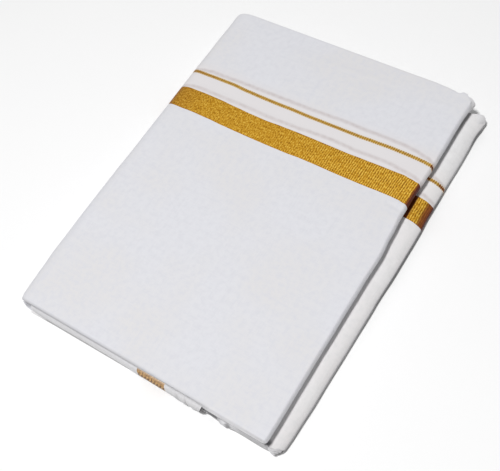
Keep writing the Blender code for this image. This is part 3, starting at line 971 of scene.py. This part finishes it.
def hiddenPlies(material):
    inner = foldRadius - packet["strip"]
    grids, places, gaps = [], [], []
    frontCount = pliesLook["count"]
    backCount = 2 * frontCount + 1
    frontDepths = plyDepths(frontCount, inner / frontCount)
    backDepths = plyDepths(backCount, (inner + packet["strip"] / 2) / backCount)
    for frontSide, depths in ((True, frontDepths), (False, backDepths[::-1])):
        radius = abs(depths[0][0] - depths[pliesLook["noseSteps"] - 1][0]) / 2
        for depth, centre, number in depths:
            ring = plyRing(max(depth, 0.001))
            y = plyEnds(frontSide, ring, depth, centre, radius * 1.001, number)
            grids.append(toFrame(*settleRing(ring, y)))
            places.append(np.stack([clothTurn(ring), y + depth * (1 if frontSide else -1)], axis=-1))
            # painted shade in the grooves between the strips at the lower front corner
            groove = (abs(depth - centre) / radius) ** 4
            groove = pliesLook["grooves"] * groove * rising(ring[:, 0], *pliesLook["grooveFrom"]) * (y < 6)
            gaps.append(np.maximum(gapShades(ring, y), groove))
        if frontSide:
            for place in (None, *np.linspace(*pliesLook["middle"])):
                ring = plyRing(inner - pliesLook["middleInset"])
                y = y + pliesLook["dip"] if place is None else np.full(len(ring), place)
                grids.append(toFrame(*settleRing(ring, y)))
                places.append(np.stack([clothTurn(ring), y], axis=-1))
                gaps.append(gapShades(ring, y))
    points = np.stack(grids, axis=1)
    maps = {"clothPlace": np.stack(places, axis=1)}
    shades = {"gapShade": np.stack(gaps, axis=1)}
    return gridMesh("hiddenPlies", points, maps, shades, [material], closeRows=True)


def gapShades(ring, y):
    # painted shade on the plies, eased by painted floor light beside the hem
    x, z, upper = ring[:, 0], ring[:, 1], ring[:, 2] > 0.5
    shade = np.where(upper, eased(gapRows["upperPlies"], x), eased(gapRows["lowerPlies"], x))
    beside = rising(x, *pliesLook["lightFrom"]) * rising(x, *pliesLook["lightTo"])
    low = pliesLook["floorLight"] * beside * rising(z, *pliesLook["lightBelow"])
    return shade * (1 - low) * rising(y, *pliesLook["gapDepth"])


def settleRing(ring, y):
    x, z, upper = ring[:, 0], ring[:, 1], ring[:, 2] > 0.5
    movedUpper, _, _ = settle(x, y, z, True)
    movedLower, _, _ = settle(x, y, z, False)
    flare = pliesLook["backFlare"] * rising(y, *pliesLook["flareBack"]) * rising(x, *pliesLook["flareFrom"])
    return np.where(upper, movedUpper + flare, movedLower), y, z


# The loose end along the front edge, with its cross band

endLook = {
    "start": 9.0,
    "tip": 5.0,  # its left end is rounded over this length
    "hem": 176.0,
    "hemLean": 0.32,  # its right end runs back towards the spine on the way down
    "bandLeft": 117.8,
    "bandRight": 143.0,
    "plies": 4,
    "plyStep": 0.36,  # each lies this much under the one before
    "plyCalm": 0.25,  # and is smoother by this share
    "hemSteps": (0.0, 0.5, 0.2, 0.7),  # and ends this much sooner
    "fine": 0.8,  # mm between the mesh's rows along x
    "around": 0.6,  # and round the nose
    "waves": ((0.20, 77, 60), (0.10, 80, 18)),  # height, seed, length
    "creaseLean": (10, 0.25),
    "tipTurn": (3.4, 9.0, 0.55),  # how far back the left end goes, the height it draws to, and how much
    "reachBack": 3.9,  # behind its top it stays where it is
    "leanFrom": (146, 28),
    "leanBelow": (17, 14),
    "goldUnder": (0.05, 0.3),  # painted shade on the zari's underside, by how far it faces down
    # painted shade on the cotton underside: shade, then from how far it faces down, over this
    "under": (0.34, 0.1, 0.5),
    "top": (0.30, 3.0, -1.5),  # painted shade where it goes in under the fold: shade, cloth used, over this
    "faceFrom": (5, 4),
    # y, z round the nose, from behind its top to behind its underside
    "section": [
        (3.9, 16.6), (2.7, 17.2), (1.7, 17.0), (1.0, 16.1), (0.5, 14.2), (0.15, 11.5), (0.0, 8.5), (0.2, 6.0),
        (0.8, 4.3), (2.0, 3.5), (3.9, 3.3),
    ],
    "reach": [  # stands forward: place along x, how far
        (9, 0.0), (60, 0.0), (90, 0.15), (103, 0.45), (116, 0.9), (138, 1.15), (150, 1.5), (160, 2.0),
        (170, 1.8),
    ],
    # painted shade lower down its face: place along x, how dark
    "faceShade": [
        (9, 0.32), (16, 0.24), (26, 0.12), (34, 0.04), (100, 0.05), (118, 0.14), (140, 0.14), (150, 0.24),
        (176, 0.20),
    ],
    # down its face: place along x, half width, height
    "creases": [(155.6, 0.6, -0.85), (164.0, 0.7, -0.75), (152.0, 2.5, 0.2), (168.5, 2.0, 0.25)],
}


def curveThrough(stops, spacing):
    # a smooth line through the stops, evenly divided
    stops = np.array(stops, float)
    ends = np.concatenate([[2 * stops[0] - stops[1]], stops, [2 * stops[-1] - stops[-2]]])
    line = []
    for a, b, c, d in zip(ends, ends[1:], ends[2:], ends[3:]):
        for t in np.linspace(0, 1, 12, endpoint=False):
            line.append(0.5 * (2 * b + (c - a) * t + (2 * a - 5 * b + 4 * c - d) * t ** 2
                               + (3 * b - a - 3 * c + d) * t ** 3))
    line.append(stops[-1])
    return resample(line, lambda x, z: spacing)


def looseEndSheet(number, materials):
    hem = endLook["hem"] - endLook["hemSteps"][number]
    stops = [endLook["start"], endLook["bandLeft"], endLook["bandRight"], hem]
    xs, gold = [], []
    for part, (low, high) in enumerate(zip(stops, stops[1:])):
        count = max(2, round((high - low) / endLook["fine"]))
        xs += list(np.linspace(low, high, count, endpoint=False))
        gold += [part == 1] * count
    xs = np.array(xs + [hem])[:, None]
    section = curveThrough(endLook["section"], endLook["around"])
    used, normalX, normalZ = (section[key][None, :] for key in ("s", "normalX", "normalZ"))
    relief = sum(rise * waves(xs, used, seed + number, length) for rise, seed, length in endLook["waves"])
    middle, lean = endLook["creaseLean"]
    for place, width, depth in endLook["creases"]:
        relief = relief + depth * ridge(xs, place + lean * (used - middle), width)
    relief = relief * (1 - endLook["plyCalm"] * number) - number * endLook["plyStep"]
    y = section["x"][None, :] + normalX * relief
    z = section["z"][None, :] + normalZ * relief
    tip = np.clip(1 - (xs - endLook["start"]) / endLook["tip"], 0, 1) ** 2
    back, level, drawn = endLook["tipTurn"]
    y = y + back * (1 - np.sqrt(1 - tip))
    z = z + (level - z) * drawn * tip
    y = y - eased(endLook["reach"], xs) * (1 - smooth(y / endLook["reachBack"]))
    top, fall = endLook["leanBelow"]
    x = xs - endLook["hemLean"] * np.clip(top - z, 0, fall) * rising(xs, *endLook["leanFrom"])
    points = toFrame(*settle(x, y, z, False))
    maps = {"clothPlace": np.stack([x, used + 0 * x], axis=-1)}
    faceMaterials = np.broadcast_to(np.array(gold)[:, None], (len(xs) - 1, used.shape[1] - 1))
    # painted shade under the nose, where it goes in under the fold, and lower down its face
    under, *underFrom = endLook["under"]
    top, *topFrom = endLook["top"]
    gapShade = under * rising(-normalZ, *underFrom) + top * rising(used, *topFrom)
    gapShade = gapShade + eased(endLook["faceShade"], xs) * rising(used, *endLook["faceFrom"])
    shades = {"foldShade": rising(-normalZ, *endLook["goldUnder"]) + 0 * x, "gapShade": gapShade}
    # from right to left, so that the faces look outward
    maps, shades = ({key: value[::-1] for key, value in table.items()} for table in (maps, shades))
    name = f"looseEnd{number + 1}"
    piece = gridMesh(name, points[::-1], maps, shades, materials, faceMaterials[::-1])
    return piece, ((hem - endLook["start"]) * mm, section["s"][-1] * mm)


# Floor, light and camera

roomLook = {
    "floor": (0.98, 0.98, 0.98),
    "floorTint": (0.95, 0.95, 0.955),
    "tintShare": 0.3,
    "floorNoise": (9.0, 4.0, 0.5),  # scale, detail, roughness
    "floorRoughness": 0.9,
    "floorHalf": 4.0,  # m
    "floorBelow": 0.0001,
    "world": 0.26,
    "lights": [  # name, place, size, power, colour
        ("overheadSoft", (-0.02, -0.38, 1.7), 0.22, 23, (1.0, 1.0, 1.0)),
    ],
}


def makeRoom():
    surface = Surface("paleFloor")
    place = surface.add("ShaderNodeTexCoord", {}, {}, 3)
    grain = surface.noise(place, *roomLook["floorNoise"])
    colour = surface.mixColour(grain * roomLook["tintShare"], roomLook["floor"], roomLook["floorTint"])
    material = surface.finish(**{"Base Color": colour, "Roughness": roomLook["floorRoughness"]})
    mesh = bpy.data.meshes.new("floor")
    half = roomLook["floorHalf"]
    level = cadLow.z - roomLook["floorBelow"]
    outline = [(-half, -half, level), (half, -half, level), (half, half, level), (-half, half, level)]
    mesh.from_pydata(outline, [], [(0, 1, 2, 3)])
    mesh.materials.append(material)
    floor = bpy.data.objects.new("floor", mesh)
    bpy.context.scene.collection.objects.link(floor)
    world = bpy.data.worlds.new("softRoom")
    world.use_nodes = True
    world.node_tree.nodes["Background"].inputs[0].default_value = (1, 1, 1, 1)
    world.node_tree.nodes["Background"].inputs[1].default_value = roomLook["world"]
    bpy.context.scene.world = world
    for name, place, size, power, colour in roomLook["lights"]:
        data = bpy.data.lights.new(name, "AREA")
        data.shape = "DISK"
        data.size = size
        data.energy = power
        data.color = colour
        light = bpy.data.objects.new(name, data)
        light.location = place
        light.rotation_euler = (-Vector(place)).to_track_quat("-Z", "Y").to_euler()
        bpy.context.scene.collection.objects.link(light)


viewLook = {
    "eye": (391.7, -93.8, 600.6),  # mm, in the packet's frame
    "azimuth": 48.77,
    "elevation": 59.46,
    "roll": -18.79,  # the picture's right side dips
    "lens": 63.14,
}


def makeCamera():
    data = bpy.data.cameras.new("photoView")
    data.sensor_width = 36
    data.lens = viewLook["lens"]
    camera = bpy.data.objects.new("photoView", data)
    azimuth, elevation = (math.radians(viewLook[key]) for key in ("azimuth", "elevation"))
    back = Vector((math.sin(azimuth) * math.cos(elevation), -math.cos(azimuth) * math.cos(elevation),
                   math.sin(elevation)))
    level = Vector((0, 0, 1)).cross(back).normalized()
    right = Matrix.Rotation(math.radians(viewLook["roll"]), 3, back) @ level
    up = back.cross(right)
    turn = Matrix((right, up, back)).transposed().to_4x4()
    camera.matrix_world = Matrix.Translation(Vector(toFrame(*viewLook["eye"]))) @ turn
    bpy.context.scene.collection.objects.link(camera)
    bpy.context.scene.camera = camera


makeCamera()
makeRoom()
print("room: floor, light and camera")

upperCotton = cottonMaterial("whiteCotton", cottonLook, True)
# painted light: the brighter, warmer cotton of the lower half
litLowerCotton = cottonMaterial("litLowerCotton", litLowerCottonLook, True)
innerCotton = cottonMaterial("innerCotton", innerCottonLook, False)
zari = zariMaterial("goldZari", zariLook, False)
endZari = zariMaterial("paleZari", endZariLook, True)
print("materials: three cottons, two zaris")

stretches = ("cloth_front", "zari_band", "cloth_between", "zari_line", "cloth_back")
for half, path, cotton in (("upper", upperPath(), upperCotton), ("lower", lowerPath(), litLowerCotton)):
    sheet, flat = foldedSheet(half + "Cloth", path, half == "upper", [cotton, zari])
    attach(sheet, "root")
    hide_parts(*(f"{half}_{stretch}" for stretch in stretches))

plies = hiddenPlies(innerCotton)
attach(plies, "root")
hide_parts("hidden_layers")
print("hidden plies:", len(plies.data.polygons), "faces")

endNodes = ("end_cloth_inner", "end_zari_band", "end_cloth_hem")
for number in range(endLook["plies"]):
    piece, flat = looseEndSheet(number, [innerCotton, endZari])
    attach(piece, "root")
    if number == 0:
        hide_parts(*endNodes)
print("loose end:", endLook["plies"], "plies")

bpy.context.scene.view_settings.view_transform = "Standard"
bpy.context.scene.view_settings.look = "None"
